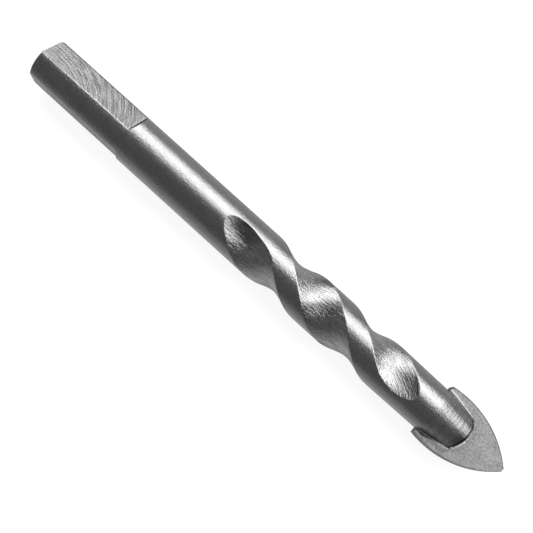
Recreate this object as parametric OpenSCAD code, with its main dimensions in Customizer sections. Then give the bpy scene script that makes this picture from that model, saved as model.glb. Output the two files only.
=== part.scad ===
// Glass and tile drill bit lying on its side: a turned steel body with three driving flats
// and two helical flutes, and a spear-shaped hard-metal plate brazed into its slotted nose.
// The bit's axis runs along X with the point at +X, the plate lies level and +Z is up.
// The origin is under the middle of the bit, on the surface that it lies on.

/* [Bit] */
// Overall length from the shank end to the point
bit_l = 75; // [70:0.5:80]
// Cutting diameter, the plate's greatest width
cut_d = 7.7; // [7.4:0.1:8.4]

/* [Shank] */
// Diameter of the body and shank
body_d = 6.5; // [6.2:0.1:7]
// Width of the broken edge round the shank end
end_chamfer = 0.15; // [0.1:0.05:0.5]
// Length of each driving flat
flat_l = 14.7; // [10:0.1:18]
// Depth of each driving flat below the round
flat_depth = 0.52; // [0.3:0.01:0.7]
// Angle of the first flat round the axis
flat_turn = 23.4; // [0:0.1:60]
// Slope of the shoulder at the end of a flat
shoulder_angle = 45; // [30:1:70]

/* [Flutes] */
// Length of one full turn of a flute
flute_pitch = 23.8; // [20:0.1:30]
// Depth of a flute at its middle
flute_depth = 0.95; // [0.5:0.01:1.1]
// Distance from the shank end to the first scoop's middle
flute_from = 35.3; // [33:0.1:38]
// Distance from the shank end to the last scoop's middle
flute_to = 57.8; // [50:0.1:58.2]
// Angle of the first flute at the shank end
flute_turn = 14.9; // [-60:0.1:60]
// Long axis of the scoop that is swept along a flute
scoop_l = 9; // [8:0.1:10]
// Short axis of the scoop
scoop_w = 3.9; // [3.4:0.1:4.1]
// Lean of the scoop's long axis from the bit's axis
scoop_lean = 16.7; // [12:0.1:20]

/* [Nose] */
// Distance from the shank end to the eased length that carries the flutes
ease_from = 30.6; // [29:0.1:31]
// Diameter of the lands at the end of the eased length
land_d = 6.44; // [6.35:0.01:6.48]
// Distance from the shank end to the start of the gentle taper
taper_from = 51.2; // [45:0.1:56]
// Distance from the shank end to the back of the plate
plate_from = 64.4; // [63.5:0.1:65]
// Diameter of the body at the back of the plate
root_d = 6.05; // [5.6:0.05:6.2]
// Distance from the shank end to the end of the nose
nose_to = 69.1; // [67.5:0.1:70]
// Diameter of the nose at its end
nose_d = 4.6; // [4:0.1:5]

/* [Plate] */
// Thickness of the plate
plate_t = 1.7; // [1.4:0.1:2.2]
// Distance from the shank end to the plate's widest place
widest_at = 66.5; // [66:0.1:67.5]
// Width of the chisel edge at the point
chisel_w = 0.8; // [0.5:0.05:1.2]
// Relief angle behind each cutting edge
relief_angle = 8; // [6:1:16]
// Lean of the plate's back corners toward the point
back_angle = 2; // [0:1:20]

/* [Braze] */
// Thickness of the braze film between plate and slot
film_t = 0.08; // [0.05:0.01:0.12]
// Width of the bead where the nose meets the plate
bead_w = 0.28; // [0.15:0.01:0.4]
// Height of that bead above the plate
bead_h = 0.22; // [0.15:0.01:0.4]

/* [Hidden] */
$fn = 96;
// Three flats and two flutes, evenly spaced
flat_count = 3;
flute_count = 2;
// Overshoot of a cut past the surface that it opens
cut_over = 1;
body_r = body_d / 2;
cut_r = cut_d / 2;
// Ball that breaks the shank end's edge: it meets the end face and the round at equal widths
end_ball_r = sqrt(body_r * body_r + (body_r - end_chamfer) * (body_r - end_chamfer));
slot_t = plate_t + 2 * film_t;
slot_from = plate_from - film_t;
// Each side of the plate is one arc from its widest place to the chisel edge
arc_run = bit_l - widest_at;
arc_drop = cut_r - chisel_w / 2;
arc_r = (arc_run * arc_run + arc_drop * arc_drop) / (2 * arc_drop);
relief_in = plate_t * tan(relief_angle);
// Rise of the helix round the unrolled body for each millimetre along it
helix_rise = PI * body_d / flute_pitch;
// Size of a helix step in the scoop's own measure
step_len = sqrt(scoop_dot([1, helix_rise], [1, helix_rise]));
// Grid of the flute cutter: rows along the helix, rows in each round end, columns across
sweep_rows = 40;
end_rows = 6;
half_columns = 6;
// Reach of the cutter's floor, so that the scoop's rim falls midway across the grid's last cells
rim_reach = half_columns / (half_columns - 0.5);
end_reach = end_rows / (end_rows - 0.5);
// Radius of the cutter's outside, clear of the body
cutter_r = body_r + 2.5;

// Product of two steps on the unrolled body in the scoop's own measure:
// a step from the scoop's middle to its rim has the product 1 with itself
function scoop_dot(p, q) =
    let (along = [cos(scoop_lean), sin(scoop_lean)], across = [-along[1], along[0]])
    4 * (p * along) * (q * along) / (scoop_l * scoop_l)
    + 4 * (p * across) * (q * across) / (scoop_w * scoop_w);

// Direction that is level across the helix in the scoop's measure, one scoop long
function level_step() =
    let (helix = [1, helix_rise], side = [0, 1])
    let (raw = side - helix * scoop_dot(side, helix) / (step_len * step_len))
    raw / sqrt(scoop_dot(raw, raw));

// Row positions: [distance along the helix, reach past the sweep's end in scoops]
function flute_rows() = concat(
    [for (i = [end_rows:-1:1]) [flute_from, -end_reach * i / end_rows]],
    [for (i = [0:sweep_rows]) [flute_from + (flute_to - flute_from) * i / sweep_rows, 0]],
    [for (i = [1:end_rows]) [flute_to, end_reach * i / end_rows]]
);

// Point of the cutter's floor, row r and share across w, on the body's surface unrolled
function unrolled_point(row, w) =
    [row[0], row[0] * helix_rise] + [1, helix_rise] * row[1] / step_len + level_step() * w;

// The same point rolled up, at radius r
function rolled_point(p, r) =
    let (a = flute_turn + p[1] / body_r * 180 / PI)
    [r * cos(a), r * sin(a), p[0]];

// Radius of the scooped floor: full depth in the middle, the body's own radius at the rim
function floor_r(row, w) = body_r - flute_depth * (1 - row[1] * row[1] - w * w);

// Two triangles for each cell of a grid of points
function grid_faces(rows, columns, first, flip) = [
    for (i = [0:rows - 2], j = [0:columns - 2], half = [0, 1])
        let (a = first + i * columns + j, b = a + 1, c = a + columns, d = c + 1)
        let (tri = half == 0 ? [a, b, d] : [a, d, c])
        flip ? [tri[2], tri[1], tri[0]] : tri
];

// Two triangles for each step of the wall between the floor and the outside
function wall_faces(rim, lift, flip) = [
    for (k = [0:len(rim) - 2], half = [0, 1])
        let (a = rim[k], b = rim[k + 1])
        let (tri = half == 0 ? [a, b, b + lift] : [a, b + lift, a + lift])
        flip ? [tri[2], tri[1], tri[0]] : tri
];

// Cutter for one flute: its floor, its outside and the walls between them
module flute_cutter() {
    rows = flute_rows();
    shares = [for (j = [-half_columns:half_columns]) rim_reach * j / half_columns];
    nr = len(rows);
    nc = len(shares);
    total = nr * nc;
    inner = [for (row = rows, w = shares) rolled_point(unrolled_point(row, w), floor_r(row, w))];
    outer = [for (row = rows, w = shares) rolled_point(unrolled_point(row, w), cutter_r)];
    first_row = [for (j = [0:nc - 1]) j];
    last_row = [for (j = [0:nc - 1]) (nr - 1) * nc + j];
    first_column = [for (i = [0:nr - 1]) i * nc];
    last_column = [for (i = [0:nr - 1]) i * nc + nc - 1];
    polyhedron(
        points = concat(inner, outer),
        faces = concat(
            grid_faces(nr, nc, 0, true),
            grid_faces(nr, nc, total, false),
            wall_faces(first_row, total, true),
            wall_faces(last_row, total, false),
            wall_faces(first_column, total, false),
            wall_faces(last_column, total, true)
        )
    );
}

// Cut for one driving flat, with its sloped shoulder
module flat_cutter() {
    floor_x = body_r - flat_depth;
    top_x = body_r + cut_over;
    top_z = flat_l + (top_x - floor_x) / tan(shoulder_angle);
    rotate([90, 0, 0])
        linear_extrude(body_d, center = true)
            polygon([[floor_x, -cut_over], [floor_x, flat_l], [top_x, top_z], [top_x, -cut_over]]);
}

// The body's outline, turned round the axis, with its shank end rounded off by a ball
module turned_blank() {
    intersection() {
        rotate_extrude()
            polygon([
                [0, 0],
                [body_r, 0],
                [body_r, ease_from],
                [land_d / 2, taper_from],
                [root_d / 2, plate_from],
                [nose_d / 2, nose_to],
                [0, nose_to]
            ]);
        translate([0, 0, body_r])
            union() {
                sphere(end_ball_r);
                cylinder(h = bit_l, r = body_d);
            }
    }
}

// Nose grown sideways by a margin, from the back of the plate to a little past the nose
module grown_nose(margin) {
    translate([0, 0, plate_from])
        cylinder(h = nose_to + margin - plate_from, d1 = root_d + 2 * margin, d2 = nose_d + 2 * margin);
}

// Slot across the nose that holds the plate
module slot_space() {
    translate([-slot_t / 2, -cut_d, slot_from])
        cube([slot_t, 2 * cut_d, bit_l]);
}

// One side of the plate: a disc of the side's arc, undercut by the relief angle
module plate_side() {
    translate([-plate_t / 2, cut_r - arc_r, widest_at])
        rotate([0, 90, 0])
            cylinder(h = plate_t, r1 = arc_r, r2 = arc_r - relief_in);
}

// Outline of the plate's square back and its swept corners
module plate_back() {
    corner_z = plate_from + (cut_d - root_d / 2) * tan(back_angle);
    rotate([90, 0, 90])
        linear_extrude(2 * plate_t, center = true)
            polygon([
                [-root_d / 2, plate_from],
                [root_d / 2, plate_from],
                [cut_d, corner_z],
                [cut_d, bit_l],
                [-cut_d, bit_l],
                [-cut_d, corner_z]
            ]);
}

// The plate standing in the frame of the turned body
module plate_form() {
    intersection() {
        plate_side();
        rotate([0, 0, 180])
            plate_side();
        plate_back();
    }
}

// Lay a form that was made round the Z axis down along X
module laid() {
    translate([-bit_l / 2, 0, body_r])
        rotate([0, 90, 0])
            children();
}

module steel_body() {
    color("dimgray")
        laid()
            difference() {
                turned_blank();
                for (k = [0:flat_count - 1])
                    rotate([0, 0, flat_turn + 360 / flat_count * k])
                        flat_cutter();
                for (k = [0:flute_count - 1])
                    rotate([0, 0, 360 / flute_count * k])
                        flute_cutter();
                slot_space();
            }
}

module carbide_tip() {
    color("gray")
        laid()
            plate_form();
}

module braze_seam() {
    color("silver")
        laid()
            difference() {
                union() {
                    intersection() {
                        slot_space();
                        turned_blank();
                    }
                    intersection() {
                        grown_nose(bead_w);
                        cube([plate_t + 2 * bead_h, 2 * cut_d, 2 * bit_l], center = true);
                    }
                }
                plate_form();
                difference() {
                    turned_blank();
                    slot_space();
                }
            }
}

steel_body();
carbide_tip();
braze_seam();
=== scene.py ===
"""Glass and tile drill bit: turned steel body, brazed hard-metal plate and the braze between them."""

import math

import bmesh
import bpy
import numpy as np
from mathutils import Matrix, Vector


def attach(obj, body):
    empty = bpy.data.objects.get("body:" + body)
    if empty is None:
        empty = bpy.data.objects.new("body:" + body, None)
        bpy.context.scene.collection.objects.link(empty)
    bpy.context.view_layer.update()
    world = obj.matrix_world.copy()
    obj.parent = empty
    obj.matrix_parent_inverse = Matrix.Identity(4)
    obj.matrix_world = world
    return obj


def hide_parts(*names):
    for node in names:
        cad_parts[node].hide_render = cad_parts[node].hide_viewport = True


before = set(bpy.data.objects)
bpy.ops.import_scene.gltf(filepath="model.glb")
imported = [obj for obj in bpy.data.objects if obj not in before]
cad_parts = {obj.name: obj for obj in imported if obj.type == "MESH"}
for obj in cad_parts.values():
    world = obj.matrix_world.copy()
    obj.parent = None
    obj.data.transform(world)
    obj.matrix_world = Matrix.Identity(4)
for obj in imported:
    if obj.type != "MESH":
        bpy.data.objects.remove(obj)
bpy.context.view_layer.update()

MM = 0.001

# Sizes of the bit in millimetres. A place is a distance from the shank end
BIT_L = 75.0
BODY_R = 3.25
END_BREAK = 0.15

# Driving flats: length, distances from the axis, angle of the first one, number and slope of the shoulders
FLAT_L = 14.85
FLAT_R = (2.73, 2.73, 2.87)
FLAT_TURN = math.radians(23.4)
FLAT_COUNT = 3
SHOULDER_RISE = math.tan(math.radians(54))

# Turned outline: straight runs between these places and radii
EASE_FROM = 30.6
TAPER_FROM = 51.2
PLATE_FROM = 64.4
NOSE_TO = 69.1
LAND_R = 3.22
ROOT_R = 3.025
NOSE_R = 2.3
PROFILE_S = (0.0, EASE_FROM, TAPER_FROM, PLATE_FROM, NOSE_TO)
PROFILE_R = (BODY_R, BODY_R, LAND_R, ROOT_R, NOSE_R)

# Flutes: a shallow elliptical scoop swept along a helix on the unrolled body
FLUTE_PITCH = 23.8
FLUTE_DEPTH = 0.95
FLUTE_FROM = 35.3
FLUTE_TO = 57.8
FLUTE_TURN = math.radians(14.9)
SCOOP_L = 9.0
SCOOP_W = 3.9
SCOOP_LEAN = math.radians(16.7)
HELIX_RISE = 2 * math.pi * BODY_R / FLUTE_PITCH
# Where a flute runs out, the scoop grows wider and shifts round the body, from the first place to the second
RUNOUT_SPREAD = 0.8
RUNOUT_SHIFT = 0.18
RUNOUT_FROM, RUNOUT_TO = 54.5, 58.0
# Where the cutter plunged in, the scoop is shifted too: in full up to the first place, not at all from the second on
PLUNGE_SHIFT = 0.22
PLUNGE_FROM, PLUNGE_TO = 35.0, 38.0

# Plate and braze
CUT_R = 3.85
PLATE_T = 1.7
WIDEST_AT = 66.5
CHISEL_W = 0.8
RELIEF_IN = PLATE_T * math.tan(math.radians(8))
BACK_LEAN = math.tan(math.radians(2))
FILM_T = 0.08
SLOT_HALF = PLATE_T / 2 + FILM_T
SLOT_FROM = PLATE_FROM - FILM_T
# Each side of the plate is one arc from its widest place to the chisel edge
ARC_RUN = BIT_L - WIDEST_AT
ARC_DROP = CUT_R - CHISEL_W / 2
ARC_R = (ARC_RUN**2 + ARC_DROP**2) / (2 * ARC_DROP)
# The nose end bulges: its crown's rise, its fall toward the seam and the crown's place across it
CROWN_RISE = 0.15
CROWN_FALL = 0.6
CROWN_AT = -0.15
# Angle from the middle of half the nose to its seam, at the nose end
NOSE_LEAN = math.acos(SLOT_HALF / NOSE_R)
# Distance of the seam from the middle of the plate, at the plate's back and at the nose end
SEAM_BACK, SEAM_END = 2.9, 2.14

# Width over which the milled and ground edges are rounded, and width of the bevel on the plate's edges
EDGE_ROUND = 0.06
PLATE_BREAK = 0.035

# Points of a mesh that are closer than this, in metres, are one
WELD = 2e-7
# Half width of the strip of fine columns that carries a rounded edge, and least half width of a cut that runs out
EDGE_STRIP = 0.09
MIN_RIM = 0.35
# Columns of a strip, of a flat and of the round beside it, of a flute, a land, half the nose and the slot's opening
STRIP_COLUMNS = 4
FLAT_COLUMNS = 26
FLUTE_COLUMNS = 52
LAND_COLUMNS = 30
NOSE_COLUMNS = 70
GAP_COLUMNS = 20
# Stretches of the body that have rows of their own: the shoulders with a little room, and the fluted length
SHOULDER_FROM = FLAT_L - 0.1
SHOULDER_TO = FLAT_L + (BODY_R - min(FLAT_R)) / SHOULDER_RISE + 0.06
FLUTED_FROM = EASE_FROM - 0.05
FLUTED_TO = 62.4
# Rows of the shank end's edge, the flats, the shoulders, the plain length, the flutes and the front
EDGE_ROWS, FLAT_ROWS, SHOULDER_ROWS = 6, 42, 22
PLAIN_ROWS, FLUTE_ROWS, FRONT_ROWS = 42, 230, 14
# Rows of the shank end's face, half the nose and the nose's end face
END_ROWS, NOSE_ROWS, FACE_ROWS = 8, 31, 6
# Points round half the body among which the rims of a flute are looked for
RIM_POINTS = 1601
# Rows, columns and layers of the plate
PLATE_ROWS, PLATE_COLUMNS, PLATE_LAYERS = 61, 29, 7
# Edges that bend by more than this many degrees stay sharp, and the plate's are bevelled
BODY_SHARP, PLATE_SHARP, BRAZE_SHARP, FLOOR_SHARP = 24, 25, 60, 30
# Finishes of the body's faces, in the order of its materials
TURNED, GROUND, MILLED = range(3)


def laid(s, across, up):
    """Points of the part's frame, in metres, by place along the bit, offset across and height over the axis."""
    s, across, up = np.broadcast_arrays(s, across, up)
    return np.stack([s - BIT_L / 2, across, BODY_R + up], -1) * MM


def rolled(s, angle, r):
    """Points at an angle round the axis: angle 0 looks down, a quarter turn looks along +Y."""
    return laid(s, r * np.sin(angle), -r * np.cos(angle))


def eased(share):
    """Share from 0 to 1 that starts and ends level: three times its square less twice its cube."""
    return share * share * (3 - 2 * share)


def soft_min(a, b, width):
    """Smaller of a and b, with a parabola in place of the crease where they differ by less than width."""
    near = np.maximum(width - np.abs(a - b), 0) / width
    return np.minimum(a, b) - near**2 * width / 4


def turned_r(s):
    """Radius of the turned blank: straight runs, with the shank end rounded off by a ball."""
    ball = np.sqrt(BODY_R**2 + (BODY_R - END_BREAK) ** 2 - (np.minimum(s, BODY_R) - BODY_R) ** 2)
    return np.minimum(np.interp(s, PROFILE_S, PROFILE_R), ball)


def flat_height(s, k):
    """Distance of driving flat k from the axis: level, then a steep shoulder."""
    return np.take(FLAT_R, k) + np.maximum(s - FLAT_L, 0) * SHOULDER_RISE


def nearest_flat(angle):
    """Number of the nearest flat and the angle from its middle."""
    third = 2 * math.pi / FLAT_COUNT
    turns = (angle - FLAT_TURN) / third
    k = np.round(turns)
    return k.astype(int) % FLAT_COUNT, (turns - k) * third


def flat_r(s, angle):
    """Radius of the nearest of the three flats: its height over the cosine of the angle from its middle."""
    k, away = nearest_flat(angle)
    return flat_height(s, k) / np.cos(away)


def scoop_share(s, side):
    """Squared distance from the helix in scoops, 1 on the scoop's rim.

    side is the arc from the helix at the same s, less the shifts where the cutter went in and came out. The nearest
    place on the helix is where the scoop's own measure of the step to it is least, held between the first and the
    last scoop.
    """
    c, d = math.cos(SCOOP_LEAN), math.sin(SCOOP_LEAN)
    runout = eased(np.clip((s - RUNOUT_FROM) / (RUNOUT_TO - RUNOUT_FROM), 0, 1))
    plunge = eased(np.clip((PLUNGE_TO - s) / (PLUNGE_TO - PLUNGE_FROM), 0, 1))
    side = side - RUNOUT_SHIFT * runout - PLUNGE_SHIFT * plunge
    along, across = 4 / SCOOP_L**2, 4 / (SCOOP_W + RUNOUT_SPREAD * runout) ** 2
    ss, st, tt = along * c * c + across * d * d, (along - across) * c * d, along * d * d + across * c * c
    back = -side * (st + tt * HELIX_RISE) / (ss + 2 * st * HELIX_RISE + tt * HELIX_RISE**2)
    step = s - np.clip(s - back, FLUTE_FROM, FLUTE_TO)
    turn = side + step * HELIX_RISE
    return ss * step**2 + 2 * st * step * turn + tt * turn**2


def flute_side(s, angle):
    """Arc from the nearer of the two helices at the same s."""
    away = angle - FLUTE_TURN - s * HELIX_RISE / BODY_R
    return ((away + math.pi / 2) % math.pi - math.pi / 2) * BODY_R


def flute_r(s, angle):
    """Radius of the scooped floor: full depth on the helix, the body's radius on the rim."""
    return BODY_R - FLUTE_DEPTH * (1 - scoop_share(s, flute_side(s, angle)))


def body_r(s, angle):
    """Radius of the finished body: the least of blank, flats and flutes, with slightly rounded edges."""
    shank = soft_min(turned_r(s) + 0 * angle, flat_r(s, angle), EDGE_ROUND)
    return soft_min(shank, flute_r(s, angle), EDGE_ROUND)


def flute_rims(s):
    """Arcs of a flute's two rims from its helix at each s, found where the scooped floor meets the blank."""
    side = np.linspace(-math.pi / 2, math.pi / 2, RIM_POINTS) * BODY_R
    level = 1 - (BODY_R - turned_r(s)) / FLUTE_DEPTH
    over = scoop_share(s[:, None], side[None, :]) - level[:, None]
    inside = over < 0
    found = inside.any(axis=1)
    row = np.arange(len(s))
    first = np.clip(inside.argmax(axis=1), 1, None)
    last = np.clip(len(side) - 1 - inside[:, ::-1].argmax(axis=1), None, len(side) - 2)

    def crossing(i, j):
        share = over[row, i] / (over[row, i] - over[row, j])
        return side[i] + (side[j] - side[i]) * share

    low = np.where(found, crossing(first - 1, first), side[over.argmin(axis=1)])
    high = np.where(found, crossing(last + 1, last), low)
    middle = (low + high) / 2
    half = np.maximum((high - low) / 2, MIN_RIM)
    return middle - half, middle + half


def columns(breaks, counts):
    """Angles of grid columns: each stretch between two break lines is divided evenly."""
    closed = np.concatenate([breaks, breaks[:, :1] + 2 * math.pi], axis=1)
    parts = []
    for j, count in enumerate(counts):
        share = np.arange(count) / count
        parts.append(closed[:, j, None] + (closed[:, j + 1] - closed[:, j])[:, None] * share)
    return np.concatenate(parts, axis=1)


def flat_columns(s):
    """Columns that follow the edges of the three flats."""
    strip = EDGE_STRIP / BODY_R
    breaks = []
    for k in range(FLAT_COUNT):
        half = np.arccos(np.minimum(flat_height(s, k) / turned_r(s), 1))
        half = np.maximum(half, MIN_RIM / BODY_R)
        middle = FLAT_TURN + 2 * math.pi * k / FLAT_COUNT
        breaks += [middle - half - strip, middle - half + strip, middle + half - strip, middle + half + strip]
    return columns(np.stack(breaks, 1), (STRIP_COLUMNS, FLAT_COLUMNS) * (2 * FLAT_COUNT))


def flute_columns(s):
    """Columns that follow the rims of the two flutes."""
    low, high = flute_rims(s)
    breaks = []
    for k in range(2):
        middle = FLUTE_TURN + math.pi * k + s * HELIX_RISE / BODY_R
        for rim in (low, high):
            breaks += [middle + (rim - EDGE_STRIP) / BODY_R, middle + (rim + EDGE_STRIP) / BODY_R]
    return columns(np.stack(breaks, 1), (STRIP_COLUMNS, FLUTE_COLUMNS, STRIP_COLUMNS, LAND_COLUMNS) * 2)


def slot_columns(s):
    """Columns that follow the two edges of each half of the slotted nose."""
    half = np.arccos(SLOT_HALF / turned_r(s))
    breaks = [-half, half, math.pi - half, math.pi + half]
    return columns(np.stack(breaks, 1), (NOSE_COLUMNS, GAP_COLUMNS) * 2)


def matched(grid, fixed):
    """Rows of column angles, renumbered and turned by whole turns so that the first row lies closest to fixed."""
    n = grid.shape[1]
    twice = np.concatenate([grid, grid + 2 * math.pi], axis=1)
    options = np.stack([twice[0, j : j + n] for j in range(n)])
    turns = np.round((fixed - options).mean(axis=1) / (2 * math.pi))
    options = options + 2 * math.pi * turns[:, None]
    shift = int(np.abs(fixed - options).sum(axis=1).argmin())
    return twice[:, shift : shift + n] + 2 * math.pi * turns[shift]


def passing(s, low, low_angles, high, high_angles):
    """Rows of column angles at s that pass smoothly from the row at low to the row at high."""
    mix = eased((s - low) / (high - low))[:, None]
    return low_angles * (1 - mix) + high_angles * mix


def steel_grid():
    """Grid of the body from the shank end to the slot: rows along it and column angles that follow every edge."""
    shank = np.concatenate([
        np.linspace(0, END_BREAK, EDGE_ROWS),
        np.linspace(END_BREAK, SHOULDER_FROM, FLAT_ROWS)[1:],
        np.linspace(SHOULDER_FROM, SHOULDER_TO, SHOULDER_ROWS)[1:],
    ])
    plain = np.linspace(SHOULDER_TO, FLUTED_FROM, PLAIN_ROWS)[1:-1]
    fluted = np.linspace(FLUTED_FROM, FLUTED_TO, FLUTE_ROWS)
    front = np.linspace(FLUTED_TO, SLOT_FROM, FRONT_ROWS)[1:-1]
    end = np.array([SLOT_FROM])
    a_shank = flat_columns(shank)
    a_fluted = matched(flute_columns(fluted), a_shank[-1])
    a_end = matched(slot_columns(end), a_fluted[-1])
    a_plain = passing(plain, SHOULDER_TO, a_shank[-1], FLUTED_FROM, a_fluted[0])
    a_front = passing(front, FLUTED_TO, a_fluted[-1], SLOT_FROM, a_end[0])
    s = np.concatenate([shank, plain, fluted, front, end])[:, None]
    angle = np.concatenate([a_shank, a_plain, a_fluted, a_front, a_end])
    return s, np.concatenate([angle, angle[:, :1] + 2 * math.pi], axis=1)


def nose_end(share):
    """Place of the nose end by share across it, -1 and 1 at the seam: a parabola about its crown."""
    return NOSE_TO + CROWN_RISE - CROWN_FALL * (share - CROWN_AT) ** 2


def nose_half(middle):
    """Patches of one half of the slotted nose: a cone segment, its wall on the slot and its end face."""
    along = np.linspace(0, 1, NOSE_ROWS)[:, None]
    share = np.linspace(-1, 1, NOSE_COLUMNS + 1)[None, :]
    s = SLOT_FROM + (nose_end(share) - SLOT_FROM) * along
    r = turned_r(s)
    cone = rolled(s, middle + np.arccos(SLOT_HALF / r) * share, r)
    across = (share[..., None] + 1) / 2
    wall = cone[:, :1] * (1 - across) + cone[:, -1:] * across
    wall[..., 0] = cone[..., 0]
    depth = np.linspace(0, 1, FACE_ROWS)[:, None, None]
    face = cone[-1:] * (1 - depth) + wall[-1:] * depth
    return [cone, wall, face]


def slot_floor():
    """Bottom of the slot: straight lines from one side of the body to the other."""
    r = turned_r(np.array([SLOT_FROM]))
    half = math.acos(SLOT_HALF / r[0])
    angle = np.linspace(half, math.pi - half, GAP_COLUMNS + 1)
    right, left = rolled(SLOT_FROM, angle, r), rolled(SLOT_FROM, -angle, r)
    across = np.linspace(0, 1, NOSE_COLUMNS + 1)[None, :, None]
    return left[:, None] * (1 - across) + right[:, None] * across


def mesh_piece(name, patches, sharp_angle):
    """One mesh from grids of points: neighbouring grids are welded where their points meet."""
    points, quads, start = [], [], 0
    for patch in patches:
        rows, cols = patch.shape[:2]
        index = start + np.arange(rows * cols).reshape(rows, cols)
        corners = [index[:-1, :-1], index[:-1, 1:], index[1:, 1:], index[1:, :-1]]
        quads.append(np.stack(corners, -1).reshape(-1, 4))
        points.append(patch.reshape(-1, 3))
        start += rows * cols
    points, quads = np.concatenate(points), np.concatenate(quads)
    mesh = bpy.data.meshes.new(name)
    mesh.from_pydata(points, [], quads.tolist())
    bm = bmesh.new()
    bm.from_mesh(mesh)
    bmesh.ops.remove_doubles(bm, verts=bm.verts, dist=WELD)
    bmesh.ops.dissolve_degenerate(bm, edges=bm.edges, dist=WELD)
    bmesh.ops.recalc_face_normals(bm, faces=bm.faces)
    bm.to_mesh(mesh)
    bm.free()
    mesh.shade_smooth()
    mesh.set_sharp_from_angle(angle=math.radians(sharp_angle))
    piece = bpy.data.objects.new(name, mesh)
    bpy.context.scene.collection.objects.link(piece)
    return piece


def read_points(collection, field):
    """All vectors of a mesh collection as one array, in millimetres."""
    flat = np.empty(len(collection) * 3, np.float32)
    collection.foreach_get(field, flat)
    return flat.reshape(-1, 3).astype(float) / MM


def unlaid(points):
    """Distance along the bit and angle round it, the reverse of rolled."""
    return points[:, 0] + BIT_L / 2, np.arctan2(points[:, 1], BODY_R - points[:, 2])


# Radius of the arcs that the grinding wheel left on the flats, and the place where they run along the axis
GRIND_R = 9.0
GRIND_FROM = 1.5
# Place from which the streaks in a flute bend away from the axis, and distance after which they have bent by as much
BEND_FROM = 55.0
BEND_L = 13.0
# Place on the plain length where the lay of the flats gives way to the lay of the flutes
LAY_CHANGE = EASE_FROM - 8


def machining_lay(s, angle, points):
    """Vector along and across the tool marks, in millimetres.

    On a flat it is the distance along and the distance from an arc of the grinding wheel, which runs along the
    axis near the shank end. In a flute it is the distance along the bit and the arc round it, less the arc by
    which the streaks bend away where the flute runs out.
    """
    _, away = nearest_flat(angle)
    q = GRIND_R - np.hypot(points[:, 1], points[:, 2] - BODY_R) * np.sin(away)
    flat = np.stack([np.arctan2(s - GRIND_FROM, q) * GRIND_R, np.hypot(s - GRIND_FROM, q) - GRIND_R, 0 * s], 1)
    arc = flute_side(s, angle) + s * HELIX_RISE
    bend = np.maximum(s - BEND_FROM, 0) ** 2 / BEND_L
    flute = np.stack([s, arc - bend, 0 * s], 1)
    return np.where((s < LAY_CHANGE)[:, None], flat, flute)


def steel_body():
    """The turned, ground and milled body, with the tool marks' directions and one material slot for each finish."""
    s, angle = steel_grid()
    skin = rolled(s, angle, body_r(s, angle))
    inward = np.linspace(1, 0, END_ROWS)[:, None]
    end = rolled(0.0, angle[0], body_r(s[0], angle[0]) * inward)
    patches = [skin, end, slot_floor()] + nose_half(0.0) + nose_half(math.pi)
    piece = mesh_piece("turned_body", patches, BODY_SHARP)
    mesh = piece.data
    points = read_points(mesh.vertices, "co")
    lay = machining_lay(*unlaid(points), points)
    mesh.attributes.new("lay", "FLOAT_VECTOR", "POINT").data.foreach_set("vector", lay.astype(np.float32).ravel())
    cs, ca = unlaid(read_points(mesh.polygons, "center"))
    blank = turned_r(cs)
    finish = np.where((flat_r(cs, ca) < blank) & (cs > WELD / MM), GROUND, TURNED)
    finish = np.where(flute_r(cs, ca) < blank, MILLED, finish)
    mesh.polygons.foreach_set("material_index", finish.astype(np.int32))
    return piece


def side_reach(s, share):
    """Half width of the plate at s: an arc whose radius shrinks by the relief from its cutting edge (share 0)."""
    radius = ARC_R - RELIEF_IN * share
    return CUT_R - ARC_R + np.sqrt(radius**2 - (s - WIDEST_AT) ** 2)


def plate_section(t, v, depth):
    """Points of the plate: t from back to point, v from the -Y side to the +Y side, depth from top to bottom.

    The back line bends at the corners, and the lines of equal t change evenly from that line to the chisel edge.
    """
    corner = PLATE_FROM + (side_reach(PLATE_FROM, 0) - ROOT_R) * BACK_LEAN
    s_side = corner + (BIT_L - corner) * t
    low, high = -side_reach(s_side, 1 - depth), side_reach(s_side, depth)
    back = -side_reach(corner, 1 - depth) * (1 - v) + side_reach(corner, depth) * v
    s_back = PLATE_FROM + np.maximum(np.abs(back) - ROOT_R, 0) * BACK_LEAN
    s = s_back * (1 - t) + BIT_L * t
    return laid(s, low * (1 - v) + high * v, PLATE_T / 2 - PLATE_T * depth)


def carbide_tip():
    """The spear-shaped plate: six grids, one for each face, with its edges slightly bevelled.

    Its edge attribute is the distance in millimetres from the plate's outline.
    """
    t = np.linspace(0, 1, PLATE_ROWS)[:, None]
    v = np.linspace(0, 1, PLATE_COLUMNS)[None, :]
    d = np.linspace(0, 1, PLATE_LAYERS)
    patches = [plate_section(t, v, 0.0), plate_section(t, v, 1.0)]
    patches += [plate_section(t, side, d[None, :]) for side in (0.0, 1.0)]
    patches += [plate_section(end, v, d[:, None]) for end in (0.0, 1.0)]
    piece = mesh_piece("hard_plate", patches, PLATE_SHARP)
    points = read_points(piece.data.vertices, "co")
    place, depth = points[:, 0] + BIT_L / 2, 0.5 - (points[:, 2] - BODY_R) / PLATE_T
    inside = np.minimum(side_reach(place, depth) - points[:, 1], side_reach(place, 1 - depth) + points[:, 1])
    edge = np.minimum(inside, place - PLATE_FROM)
    piece.data.attributes.new("edge", "FLOAT", "POINT").data.foreach_set("value", edge.astype(np.float32))
    bevel = piece.modifiers.new("edge break", "BEVEL")
    bevel.width = PLATE_BREAK * MM
    bevel.segments = 2
    bevel.limit_method = "ANGLE"
    bevel.angle_limit = math.radians(PLATE_SHARP)
    return piece


# Shortest and longest wave of a ragged line, in millimetres
WAVE_LENGTHS = (0.35, 2.2)


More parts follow.
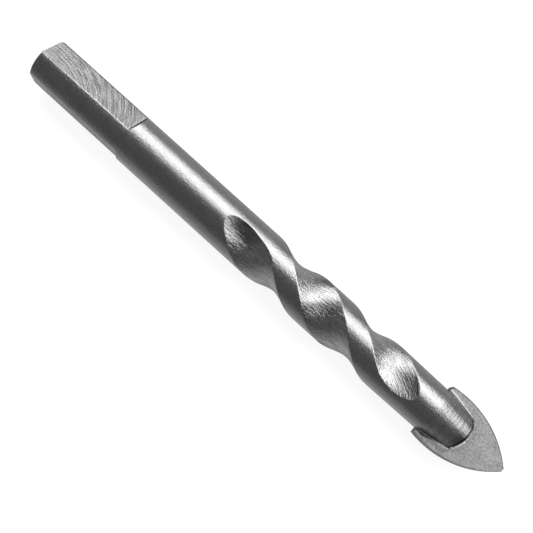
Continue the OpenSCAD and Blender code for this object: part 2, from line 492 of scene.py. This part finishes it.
def ripple(path, seed, waves):
    """Smooth ragged line along a path, between about -1 and 1: a sum of waves with seeded lengths and phases."""
    draw = np.random.default_rng(seed)
    length = draw.uniform(*WAVE_LENGTHS, waves)
    phase = draw.uniform(0, 2 * math.pi, waves)
    weight = length**0.5
    waves_at = np.sin(2 * math.pi * path[:, None] / length + phase)
    return (waves_at * weight).sum(1) / np.sqrt((weight**2).sum())


# Points of the bead's path along each side of the nose and across its end, and points over which its turns are eased
SIDE_POINTS, END_POINTS = 90, 60
TURN_POINTS = 9


def bead_path():
    """Line where the nose meets a face of the plate, from the +Y side round the nose end to the -Y side.

    Gives the place along the bit, the place across it, the outward direction and the length travelled.
    """
    share = np.linspace(-1, 1, END_POINTS)
    out = np.linspace(PLATE_FROM, nose_end(-1.0), SIDE_POINTS)
    back = np.linspace(nose_end(1.0), PLATE_FROM, SIDE_POINTS)
    out_y, back_y = (np.sqrt(turned_r(s) ** 2 - (PLATE_T / 2) ** 2) for s in (out, back))
    end_y = np.interp(share, (-1, 1), (out_y[-1], -back_y[0]))
    along = np.concatenate([out, nose_end(share[1:-1]), back])
    across = np.concatenate([out_y, end_y[1:-1], -back_y])
    step = np.stack([np.gradient(along), np.gradient(across)], 1)
    padded = np.pad(step, ((TURN_POINTS // 2,) * 2, (0, 0)), "edge")
    mean = np.ones(TURN_POINTS) / TURN_POINTS
    step = np.stack([np.convolve(padded[:, k], mean, "valid") for k in range(2)], 1)
    step /= np.linalg.norm(step, axis=1)[:, None]
    travel = np.concatenate([[0], np.cumsum(np.hypot(np.diff(along), np.diff(across)))])
    return along, across, np.stack([-step[:, 1], step[:, 0]], 1), travel


# Width, height and place of the crest of the braze bead, by share of its path from the +Y side round to the -Y side
BEAD_SHARE = (0.0, 0.12, 0.32, 0.38, 0.46, 0.52, 0.62, 0.68, 0.73, 0.8, 0.88, 0.95, 1.0)
BEAD_WIDTH = (0.48, 0.4, 0.22, 0.14, 0.4, 0.55, 0.48, 0.5, 0.9, 0.75, 0.6, 0.4, 0.25)
BEAD_HEIGHT = (0.13, 0.13, 0.1, 0.06, 0.14, 0.2, 0.2, 0.18, 0.16, 0.15, 0.1, 0.06, 0.05)
BEAD_CREST = (2.6, 2.6, 1.8, 1.0, 1.0, 1.0, 1.0, 0.7, 0.5, 0.5, 0.5, 0.6, 0.8)
# Points across the bead, its reach under the nose and into the plate, and its lumps as a share of its width
BEAD_POINTS = 15
BEAD_TUCK = 0.1
BEAD_SINK = 0.06
BEAD_LUMPS = 0.03
# Waves in each of the bead's ragged lines, and in its lumps along and across it
EDGE_WAVES, LUMP_WAVES, CROSS_WAVES = 14, 10, 5
# Stretch of the path for the finer ragged line and for the lumps, and length given to the share across the bead
FINE_EDGE, FINE_LUMP, FINE_CROSS = 3.1, 2.3, 2


def braze_bead(face, seed):
    """Rounded bead of braze along bead_path: half a wave from its outer edge to the nose, with ragged edges.

    It is a ridge on the +Y side, thin at the nose end, and spreads to a puddle on the -Y side, where a power of the
    share moves its crest toward the nose. face is +1 for the plate's upper face; -1 is the same turned half round.
    """
    along, across, outward, travel = bead_path()
    share = travel / travel[-1]
    rough = ripple(travel, seed, EDGE_WAVES)
    fine = ripple(travel * FINE_EDGE, seed + 1, EDGE_WAVES)

    def ragged(sizes, coarse, finer, most):
        change = np.clip(1 + coarse * rough + finer * fine, 1 - most, 1 + most)
        return (np.interp(share, BEAD_SHARE, sizes) * change)[:, None]

    width = ragged(BEAD_WIDTH, coarse=0.1, finer=0.05, most=0.4)
    height = ragged(BEAD_HEIGHT, coarse=0.14, finer=-0.06, most=0.5)
    crest = np.interp(share, BEAD_SHARE, BEAD_CREST)[:, None]
    q = np.linspace(1, 0, BEAD_POINTS)[None, :]
    lump = ripple(travel * FINE_LUMP, seed + 2, LUMP_WAVES)[:, None] * ripple(q[0] * FINE_CROSS, seed + 3, CROSS_WAVES)
    rise = height * np.sin(math.pi * q**crest) + lump * width * BEAD_LUMPS * np.sin(math.pi * q)
    reach = np.concatenate([width * q, np.full_like(width, -BEAD_TUCK), width], axis=1)
    rise = np.concatenate([rise, np.full((len(width), 2), -BEAD_SINK)], axis=1)
    s = along[:, None] + outward[:, :1] * reach
    y = across[:, None] + outward[:, 1:] * reach
    ring = laid(s, face * y, face * (PLATE_T / 2 + rise))
    ring = np.concatenate([ring, ring[:, :1]], axis=1)
    middle = ring[[0, -1], :-1].mean(axis=1)
    caps = [np.stack([ring[k], np.repeat(middle[i : i + 1], ring.shape[1], 0)]) for i, k in enumerate((0, -1))]
    return [ring] + caps


# Rows and columns of the braze film
FILM_ROWS, FILM_COLUMNS = 24, 17


def braze_film(face):
    """Thin slab of braze between the plate and one wall of the slot, out to the cone of the nose."""
    v = np.linspace(-1, 1, FILM_COLUMNS)[None, :]
    s = SLOT_FROM + (nose_end(-face * v) - SLOT_FROM) * np.linspace(0, 1, FILM_ROWS)[:, None]
    reach = np.sqrt(turned_r(s) ** 2 - SLOT_HALF**2)
    low, high = laid(s, reach * v, face * PLATE_T / 2), laid(s, reach * v, face * SLOT_HALF)
    return [
        low,
        high,
        np.stack([low[0], high[0]]),
        np.stack([low[-1], high[-1]]),
        np.stack([low[:, 0], high[:, 0]]),
        np.stack([low[:, -1], high[:, -1]]),
    ]


def braze_seam():
    """The braze: two films in the slot and a ragged bead on each face of the plate."""
    patches = braze_bead(1, seed=11) + braze_bead(-1, seed=23) + braze_film(1) + braze_film(-1)
    return mesh_piece("braze_metal", patches, BRAZE_SHARP)


class Shader:
    """A node tree with short calls to add nodes and links."""

    def __init__(self, tree):
        self.tree = tree

    def fill(self, node, inputs):
        """Links the inputs that are given as sockets and sets the others."""
        for key, value in inputs.items():
            if isinstance(value, bpy.types.NodeSocket):
                self.tree.links.new(value, node.inputs[key])
            else:
                node.inputs[key].default_value = value
        return node

    def add(self, kind, inputs, **settings):
        node = self.tree.nodes.new("ShaderNode" + kind)
        for key, value in settings.items():
            setattr(node, key, value)
        return self.fill(node, inputs)

    def math(self, operation, *values):
        return self.add("Math", dict(enumerate(values)), operation=operation).outputs[0]

    def vector(self, operation, *values):
        return self.add("VectorMath", dict(enumerate(values)), operation=operation).outputs[0]

    def split(self, vector):
        return self.add("SeparateXYZ", {0: vector}).outputs

    def joined(self, *parts):
        return self.add("CombineXYZ", dict(enumerate(parts))).outputs[0]

    def ramp(self, value, low, high, to_low=0.0, to_high=1.0):
        """to_low up to low, to_high from high on, and a straight run between them."""
        names = ("Value", "From Min", "From Max", "To Min", "To Max")
        return self.add("MapRange", dict(zip(names, (value, low, high, to_low, to_high)))).outputs[0]

    def band(self, value, rise, fall):
        """1 between two ramps, each given by the values at which it is 0 and 1."""
        return self.math("MULTIPLY", self.ramp(value, *rise), self.ramp(value, *fall))

    def plus(self, base, value, weight):
        """base with weight times value added."""
        return self.math("MULTIPLY_ADD", value, weight, base)

    def dimmed(self, tone, mask, depth):
        """tone, less that share of it where mask is 1."""
        return self.math("MULTIPLY", tone, self.plus(1.0, mask, -depth))


FLOAT, VECTOR = "NodeSocketFloat", "NodeSocketVector"


def group(name, inputs, outputs):
    """An empty shader node group with named float or vector inputs and float outputs."""
    tree = bpy.data.node_groups.new(name, "ShaderNodeTree")
    for label, kind, value in inputs:
        socket = tree.interface.new_socket(label, in_out="INPUT", socket_type=kind)
        if value is not None:
            socket.default_value = value
    for label in outputs:
        tree.interface.new_socket(label, in_out="OUTPUT", socket_type=FLOAT)
    source = tree.nodes.new("NodeGroupInput").outputs
    target = tree.nodes.new("NodeGroupOutput")
    return Shader(tree), source, target


def tool_marks():
    """Group: fine lines along the first coordinate, each as long and as far apart as asked, and slow bands, 0 to 1."""
    shader, given, result = group("tool_marks", [
        ("Vector", VECTOR, None), ("Length", FLOAT, 4.0), ("Spacing", FLOAT, 0.1), ("Seed", FLOAT, 0.0),
    ], ["Lines", "Bands"])
    parts = shader.split(given["Vector"])
    u = shader.math("DIVIDE", parts[0], given["Length"])
    v = shader.math("DIVIDE", parts[1], given["Spacing"])
    place = shader.joined(u, v, given["Seed"])
    fine = shader.add("TexNoise", {"Vector": place, "Scale": 1.0, "Detail": 3.0, "Roughness": 0.6}).outputs[0]
    slow = shader.vector("MULTIPLY", place, (0.6, 0.16, 1.0))
    bands = shader.add("TexNoise", {"Vector": slow, "Scale": 1.0, "Detail": 2.0, "Roughness": 0.5}).outputs[0]
    shader.fill(result, {"Lines": fine, "Bands": bands})
    return shader.tree


def grain():
    """Group: fine even grain, slow mottle and sparse specks on a place in millimetres, each 0 to 1."""
    shader, given, result = group("grain", [
        ("Vector", VECTOR, None), ("Size", FLOAT, 0.2), ("Speck share", FLOAT, 0.1),
    ], ["Grain", "Mottle", "Specks"])
    shrink = shader.math("DIVIDE", 1.0, given["Size"])
    place = shader.add("VectorMath", {0: given["Vector"], "Scale": shrink}, operation="SCALE").outputs[0]
    fine = shader.add("TexNoise", {"Vector": place, "Scale": 1.0, "Detail": 2.0, "Roughness": 0.7}).outputs[0]
    slow = shader.add("TexNoise", {"Vector": place, "Scale": 0.22, "Detail": 3.0, "Roughness": 0.6}).outputs[0]
    cells = shader.add("TexVoronoi", {"Vector": place, "Scale": 0.35}).outputs
    dots = shader.ramp(cells["Distance"], 0.22, 0.1)
    chosen = shader.math("LESS_THAN", shader.split(cells["Color"])[0], given["Speck share"])
    specks = shader.math("MULTIPLY", dots, chosen)
    shader.fill(result, {"Grain": fine, "Mottle": slow, "Specks": specks})
    return shader.tree


TOOL_MARKS = tool_marks()
GRAIN = grain()


def at(place):
    """Object coordinate along the bit, in millimetres, of a place."""
    return place - BIT_L / 2


class Finish(Shader):
    """A material with one Principled shader, and the shared groups at hand."""

    def __init__(self, name, **sockets):
        self.material = bpy.data.materials.new(name)
        self.material.use_nodes = True
        super().__init__(self.material.node_tree)
        self.shader = self.tree.nodes["Principled BSDF"]
        self.fill(self.shader, sockets)

    def place(self):
        """Object coordinates in millimetres."""
        where = self.add("TexCoord", {}).outputs["Object"]
        return self.vector("MULTIPLY", where, (1 / MM, 1 / MM, 1 / MM))

    def parts(self):
        """Object coordinates along and across in millimetres, height over the axis and side.

        side is the place across as seen from the half of the bit that it is on, so that both halves look alike.
        """
        x, y, z = self.split(self.place())
        up = self.math("SUBTRACT", z, BODY_R)
        return x, y, up, self.math("MULTIPLY", y, self.math("SIGN", up))

    def round_place(self, y, up):
        """Arc round the body with its seam underneath, and distance from the axis, in millimetres."""
        arc = self.math("MULTIPLY", self.math("ARCTAN2", y, up), BODY_R)
        radius = self.math("SQRT", self.math("MULTIPLY_ADD", y, y, self.math("MULTIPLY", up, up)))
        return arc, radius

    def attribute(self, name, output):
        """One of the mesh's own attributes: its lay, along and across the tool marks, or its distance from an edge."""
        return self.add("Attribute", {}, attribute_name=name).outputs[output]

    def shared(self, tree, **inputs):
        node = self.tree.nodes.new("ShaderNodeGroup")
        node.node_tree = tree
        return self.fill(node, {key.replace("_", " "): value for key, value in inputs.items()}).outputs

    def colour(self, value):
        grey = self.add("CombineColor", {"Red": value, "Green": value, "Blue": value})
        self.fill(self.shader, {"Base Color": grey.outputs[0]})

    def rough(self, value):
        self.fill(self.shader, {"Roughness": value})

    def bump(self, height, depth):
        """Bump whose height runs over depth millimetres."""
        node = self.add("Bump", {"Height": height, "Strength": 1.0, "Distance": depth * MM})
        self.fill(self.shader, {"Normal": node.outputs[0]})


# Radii between which the streaks fade toward the middle of an end face
SKIN_FROM, SKIN_TO = 1.2, 2.2
# Places between which the body's front grows coarser, and how far past the plate's back the nose is at its coarsest
FRONT_FROM, FRONT_TO = 57, 63
NOSE_CHANGE = 0.3
# Length of the nose end that carries painted shade, and heights over the axis between which the painted shade by the
# seam sets in
NOSE_SHADE_L = 1.6
NOSE_SHADE_FROM, NOSE_SHADE_TO = 1.9, 1.1
# Distances from the nose end between which its painted rim of shade sets in
END_SHADE_FROM, END_SHADE_TO = 0.36, 0.22


def turned_steel():
    """Centreless-ground steel: grainy skin, faint lines round the body, streaks along it and a few bright specks.

    The slotted nose is coarser, for it was turned after the body was ground. It has painted shade near its end and by
    the braze seam, deeper on the -Y side, and a painted rim of shade round its end.
    """
    steel = Finish("turned_steel")
    x, y, up, side = steel.parts()
    arc, radius = steel.round_place(y, up)
    hoop = steel.joined(arc, steel.math("SUBTRACT", x, radius))
    skin = steel.ramp(radius, SKIN_FROM, SKIN_TO)
    rings = steel.shared(TOOL_MARKS, Vector=hoop, Length=5.0, Spacing=0.14)
    drags = steel.shared(TOOL_MARKS, Vector=steel.joined(x, arc), Length=1.2, Spacing=0.24, Seed=7.0)
    bits = steel.shared(GRAIN, Vector=steel.place(), Size=0.26, Speck_share=0.012)
    nose = steel.ramp(x, at(SLOT_FROM), at(PLATE_FROM) + NOSE_CHANGE)
    front = steel.ramp(x, at(FRONT_FROM), at(FRONT_TO))
    # painted shade: darkens the nose near its end and by the braze seam, more on the -Y side
    near_end = steel.ramp(x, at(NOSE_TO) - NOSE_SHADE_L, at(NOSE_TO))
    near_seam = steel.math("MULTIPLY", nose, steel.ramp(steel.math("ABSOLUTE", up), NOSE_SHADE_FROM, NOSE_SHADE_TO))
    nose_shade = steel.math("MULTIPLY", steel.math("MAXIMUM", near_end, near_seam), steel.ramp(y, 1.0, -0.8, 0.3, 1.0))
    # painted shade: a dark rim along the bulging nose end
    lean = steel.math("ARCSINE", steel.math("DIVIDE", side, radius))
    off = steel.plus(-CROWN_AT, lean, -1 / NOSE_LEAN)
    reach = steel.plus(x, steel.math("MULTIPLY", off, off), CROWN_FALL)
    crown = at(NOSE_TO + CROWN_RISE)
    end_shade = steel.math("MULTIPLY", nose, steel.ramp(reach, crown - END_SHADE_FROM, crown - END_SHADE_TO))
    scratch = steel.math("MULTIPLY", nose, steel.ramp(rings["Lines"], 0.5, 0.64))
    tone = steel.plus(0.36, steel.math("MULTIPLY", drags["Bands"], skin), 0.1)
    tone = steel.plus(tone, steel.ramp(bits["Grain"], 0.35, 0.65), 0.1)
    for mask, depth in ((nose_shade, 0.6), (scratch, 0.4), (end_shade, 0.7)):
        tone = steel.dimmed(tone, mask, depth)
    steel.colour(steel.plus(tone, bits["Specks"], 0.08))
    steel.fill(steel.shader, {"Metallic": steel.plus(1.0, bits["Specks"], -0.3)})
    rough = steel.plus(steel.plus(0.22, rings["Lines"], 0.06), bits["Mottle"], 0.1)
    steel.rough(steel.plus(rough, nose, 0.03))
    height = steel.plus(bits["Grain"], steel.math("MULTIPLY", drags["Lines"], skin), 0.25)
    coarse = steel.plus(steel.plus(0.45, front, 0.4), nose, 1.0)
    steel.bump(steel.plus(height, rings["Lines"], coarse), 0.042)
    return steel.material


# Distances before a shoulder's foot: painted highlight along the end of the flat, and start of the painted shade on the
# shoulder
SHOULDER_HIGHLIGHT_FROM, SHOULDER_HIGHLIGHT_TO = 0.5, 0.25
SHOULDER_SHADE_FROM, SHOULDER_SHADE_TO = 0.12, 0.04


def ground_flat():
    """Driving flats: long curved grinding marks, lighter and rougher than the round, with a painted highlight and
    painted shade at the shoulders.
    """
    flat = Finish("ground_flat", Metallic=1.0)
    lay = flat.attribute("lay", "Vector")
    fine = flat.shared(TOOL_MARKS, Vector=lay, Length=1.4, Spacing=0.12)
    marks = flat.shared(TOOL_MARKS, Vector=lay, Length=3.0, Spacing=0.21, Seed=5.0)
    bits = flat.shared(GRAIN, Vector=flat.place(), Size=0.2, Speck_share=0.03)
    tone = flat.plus(0.12, flat.ramp(fine["Lines"], 0.38, 0.62), 0.22)
    tone = flat.plus(tone, flat.ramp(bits["Grain"], 0.38, 0.62), 0.1)
    tone = flat.plus(tone, flat.ramp(marks["Lines"], 0.4, 0.6), 0.3)
    x = flat.split(flat.place())[0]
    foot = at(FLAT_L)
    # painted highlight on the end of the flat, then painted shade over the shoulder's foot
    bright = flat.ramp(x, foot - SHOULDER_HIGHLIGHT_FROM, foot - SHOULDER_HIGHLIGHT_TO, 1.0, 1.3)
    dark = flat.ramp(x, foot - SHOULDER_SHADE_FROM, foot - SHOULDER_SHADE_TO, 1.0, 0.1)
    flat.colour(flat.math("MULTIPLY", tone, flat.math("MULTIPLY", bright, dark)))
    flat.rough(flat.plus(0.32, fine["Lines"], 0.16))
    height = flat.plus(marks["Lines"], fine["Lines"], 0.6)
    flat.bump(flat.plus(height, bits["Grain"], 0.5), 0.045)
    return flat.material


# Places between which painted shade darkens the floor of the run-out
RUNOUT_SHADE_FROM, RUNOUT_SHADE_TO = 57.6, 60.6
# Slant of the middle scoop's bright band, and object coordinates on that slant between which the painted shade on the
# floor before and behind it rises and falls
BAND_SLANT = -0.95
BEFORE_RISE, BEFORE_FALL = (3.8, 4.6), (6.0, 5.3)
BEHIND_RISE, BEHIND_FALL = (7.7, 8.5), (10.4, 9.2)
# Places between which the painted shade and the painted crest highlight where the cutter plunged in set in, and the
# line of that crest by object coordinates
CREST_FROM, CREST_TO = 36.2, 34.8
CREST_RISE, CREST_SIDE = 0.1255, -0.954


def milled_flute():
    """Flutes: ragged streaks along the bit with a mottled skin.

    The run-out's floor has painted shade, and so has the floor before and behind the middle scoop's bright band. Where
    the cutter plunged in, painted shade darkens the floor away from a painted highlight along a crest.
    """
    flute = Finish("milled_flute", Metallic=1.0)
    lay = flute.attribute("lay", "Vector")
    marks = flute.shared(TOOL_MARKS, Vector=lay, Length=1.3, Spacing=0.24, Seed=3.0)
    fine = flute.shared(TOOL_MARKS, Vector=lay, Length=0.6, Spacing=0.12, Seed=9.0)
    bits = flute.shared(GRAIN, Vector=flute.place(), Size=0.24, Speck_share=0.06)
    line = flute.ramp(marks["Lines"], 0.38, 0.62)
    x, _, _, side = flute.parts()
    # painted shade on the run-out's floor, growing toward larger side
    runout = flute.math("MULTIPLY", flute.ramp(x, at(RUNOUT_SHADE_FROM), at(RUNOUT_SHADE_TO)), flute.ramp(side, -1.0, 0.2))
    # painted shade on the floor before and behind the middle scoop's bright band
    slant = flute.plus(x, side, BAND_SLANT)
    slant = flute.math("ADD", slant, flute.ramp(marks["Lines"], 0.3, 0.7, -0.5, 0.5))
    before = flute.math("MULTIPLY", flute.band(slant, BEFORE_RISE, BEFORE_FALL), flute.ramp(side, 1.3, 2.0))
    band_shade = flute.math("MAXIMUM", before, flute.band(slant, BEHIND_RISE, BEHIND_FALL))
    # painted shade below a painted highlight along the crest where the cutter plunged in
    plunge = flute.ramp(x, at(CREST_FROM), at(CREST_TO))
    over = flute.math("SUBTRACT", side, flute.plus(CREST_SIDE, x, CREST_RISE))
    crest = flute.ramp(flute.math("ABSOLUTE", flute.math("SUBTRACT", over, 0.08)), 0.12, 0.03)
    shaded = flute.math("MULTIPLY", plunge, flute.ramp(over, -0.06, 1.2, 0.1, 0.45))
    tone = flute.plus(0.31, fine["Lines"], 0.16)
    tone = flute.plus(tone, flute.ramp(marks["Bands"], 0.38, 0.62), 0.14)
    tone = flute.plus(tone, line, 0.16)
    for mask, depth in ((runout, 0.6), (band_shade, 0.55), (shaded, 1.0)):
        tone = flute.dimmed(tone, mask, depth)
    # adds the painted crest highlight
    flute.colour(flute.plus(tone, flute.math("MULTIPLY", plunge, crest), 0.2))
    flute.rough(flute.plus(0.2, line, 0.1))
    height = flute.plus(marks["Lines"], bits["Grain"], 0.5)
    flute.bump(flute.plus(height, fine["Lines"], 0.4), 0.065)
    return flute.material


# Distances from the plate's outline between which its painted rim of shade fades
RIM_FROM, RIM_TO = 0.03, 0.2


def sintered_plate():
    """Hard metal as it left the press: dull grey with a fine speckle, and painted shade along its ground outline,
    deeper on the +Y side.
    """
    plate = Finish("sintered_plate", Metallic=0.15)
    bits = plate.shared(GRAIN, Vector=plate.place(), Size=0.24, Speck_share=0.12)
    tone = plate.plus(0.225, plate.ramp(bits["Mottle"], 0.35, 0.65), 0.07)
    tone = plate.plus(tone, plate.ramp(bits["Grain"], 0.38, 0.62), 0.16)
    y = plate.split(plate.place())[1]
    # painted shade along the plate's outline, deeper toward +Y
    outline_shade = plate.ramp(y, -2.5, 2.5, 0.8, 0.3)
    rim = plate.ramp(plate.attribute("edge", "Fac"), RIM_FROM, RIM_TO, outline_shade, 1.0)
    plate.colour(plate.math("MULTIPLY", tone, rim))
    plate.rough(plate.ramp(bits["Mottle"], 0.3, 0.7, 0.42, 0.58))
    plate.bump(bits["Grain"], 0.03)
    return plate.material


# Places between which the painted shade at the foot of the -Y seam narrows to nothing, and its width at the first
SEAM_SHADE_FROM, SEAM_SHADE_TO = 65, 67.75
SEAM_SHADE_W = 0.55


def bright_braze():
    """Braze: bright and lumpy, with dull flux-stained patches.

    The puddle on the -Y side is darker all over, painted shade fills the groove along the +Y seam, and the -Y seam has
    painted shade at its foot.
    """
    braze = Finish("bright_braze", Metallic=0.3)
    bits = braze.shared(GRAIN, Vector=braze.place(), Size=0.15, Speck_share=0.3)
    x, _, _, side = braze.parts()
    seam = braze.ramp(x, at(PLATE_FROM), at(NOSE_TO), SEAM_BACK, SEAM_END)
    inside = braze.math("ADD", side, seam)
    puddle = braze.ramp(inside, -0.05, -0.12)
    beyond = braze.ramp(braze.math("SUBTRACT", side, seam), 0.22, 0.16)
    # painted shade in the groove along the +Y seam; the stain mask also carries real flux stains
    groove_shade = braze.math("MULTIPLY", braze.ramp(side, 1.9, 2.1), beyond)
    stain_and_shade = braze.math("MAXIMUM", braze.ramp(bits["Mottle"], 0.5, 0.62), braze.math("MAXIMUM", puddle, groove_shade))
    tone = braze.plus(braze.plus(0.9, stain_and_shade, -0.52), groove_shade, -0.15)
    # painted shade along the foot of the -Y seam
    foot = braze.math("ADD", inside, braze.ramp(x, at(SEAM_SHADE_FROM), at(SEAM_SHADE_TO), SEAM_SHADE_W, 0.0))
    foot = braze.math("MULTIPLY", braze.ramp(foot, -0.04, 0.04), braze.ramp(side, -1.9, -2.1))
    braze.colour(braze.dimmed(tone, foot, 0.8))
    braze.rough(braze.ramp(bits["Grain"], 0.3, 0.7, 0.22, 0.38))
    braze.bump(bits["Grain"], 0.014)
    return braze.material


def dress(piece, node, *materials):
    """Puts a piece in a CAD node's place, on the fixed body, with its materials."""
    for material in materials:
        piece.data.materials.append(material)
    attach(piece, "root")
    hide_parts(node)


dress(steel_body(), "steel_body", turned_steel(), ground_flat(), milled_flute())
dress(carbide_tip(), "carbide_tip", sintered_plate())
dress(braze_seam(), "braze_seam", bright_braze())

# Reach of the floor each way, in metres
FLOOR_REACH = 1.5
# Distances from the bit's axis between which the floor's mirrored glow sets in and ends, in millimetres
GLOW_IN, GLOW_OUT = (3, 5), (10.5, 6.5)
# Distance to each side of the axis over which that glow changes from the -Y side to the +Y side
GLOW_CHANGE = 4


def studio_floor():
    """Pale floor: a wide level sheet that keeps the bit's shadow and reads white to the eye.

    In the steel it shows as a dark sheet with a soft glow along the bit, which is stronger on the -Y side.
    """
    reach = np.linspace(-FLOOR_REACH, FLOOR_REACH, 3)
    grid = np.stack([*np.meshgrid(reach, reach, indexing="ij"), np.zeros((3, 3))], -1)
    floor = mesh_piece("studio_floor", [grid], FLOOR_SHARP)
    pale = Finish("pale_floor", Roughness=0.9)
    floor.data.materials.append(pale.material)
    pale.fill(pale.shader, {
        "Base Color": (0.3, 0.3, 0.3, 1), "Specular IOR Level": 0.0, "Emission Color": (1, 1, 1, 1),
    })
    seen = pale.add("LightPath", {}).outputs
    mirrored = pale.math("MAXIMUM", seen["Is Glossy Ray"], seen["Is Transmission Ray"])
    y = pale.split(pale.place())[1]
    away = pale.math("ABSOLUTE", y)
    near = pale.math("MULTIPLY", pale.ramp(away, *GLOW_OUT), pale.ramp(away, *GLOW_IN, 0.4, 1.0))
    glow = pale.math("MULTIPLY_ADD", near, pale.ramp(y, -GLOW_CHANGE, GLOW_CHANGE, 0.36, 0.14), 0.03)
    eye = pale.math("MULTIPLY", seen["Is Camera Ray"], 0.84)
    pale.fill(pale.shader, {"Emission Strength": pale.math("MULTIPLY_ADD", mirrored, glow, eye)})


def studio_world():
    """Surroundings: white to the eye, soft light on what is dull, and a dark room in what shines."""
    world = bpy.data.worlds.new("studio")
    bpy.context.scene.world = world
    world.use_nodes = True
    shader = Shader(world.node_tree)
    seen = shader.add("LightPath", {}).outputs
    dull = shader.ramp(seen["Is Glossy Ray"], 0, 1, 0.5, 0.11)
    strength = shader.math("MAXIMUM", dull, seen["Is Camera Ray"])
    shader.fill(shader.tree.nodes["Background"], {"Color": (1, 1, 1, 1), "Strength": strength})


def strip_light(name, place, aim, long, tall, tilt, radiance):
    """Soft rectangular lamp that faces aim, in millimetres. Its long side lies along X, with its end raised by tilt."""
    data = bpy.data.lights.new(name, "AREA")
    data.shape = "RECTANGLE"
    data.size, data.size_y = long * MM, tall * MM
    data.energy = radiance * math.pi * data.size * data.size_y
    lamp = bpy.data.objects.new(name, data)
    bpy.context.scene.collection.objects.link(lamp)
    back = (Vector(place) - Vector(aim)).normalized()
    level = Vector((1, 0, 0))
    right = level * math.cos(tilt) + level.cross(back) * math.sin(tilt)
    axes = Matrix((right, back.cross(right), back)).transposed().to_4x4()
    lamp.matrix_world = Matrix.Translation(Vector(place) * MM) @ axes


studio_floor()
studio_world()
strip_light(
    "side_strip", place=(0, 114, 129), aim=(0, 0, 3), long=420, tall=148, tilt=math.radians(8.5), radiance=2.3
)


def camera_view():
    """Camera at the photograph's angle: aim point, azimuth from +X, elevation and roll, in the bit's frame."""
    azimuth, elevation, roll = (math.radians(a) for a in (-36.648, 83.318, -10.987))
    aim, distance = Vector((0.692, -0.632, 3.25)), 96.494
    level = math.cos(elevation)
    back = Vector((math.cos(azimuth) * level, math.sin(azimuth) * level, math.sin(elevation)))
    right = Vector((0, 0, 1)).cross(back).normalized()
    up = back.cross(right)
    turned = right * math.cos(roll) + up * math.sin(roll)
    axes = Matrix((turned, back.cross(turned), back)).transposed().to_4x4()
    data = bpy.data.cameras.new("view")
    data.sensor_width = 36
    data.lens = 53.132
    data.clip_start = 0.005
    camera = bpy.data.objects.new("view", data)
    bpy.context.scene.collection.objects.link(camera)
    camera.matrix_world = Matrix.Translation((aim + back * distance) * MM) @ axes
    bpy.context.scene.camera = camera


camera_view()
bpy.context.scene.view_settings.view_transform = "Standard"
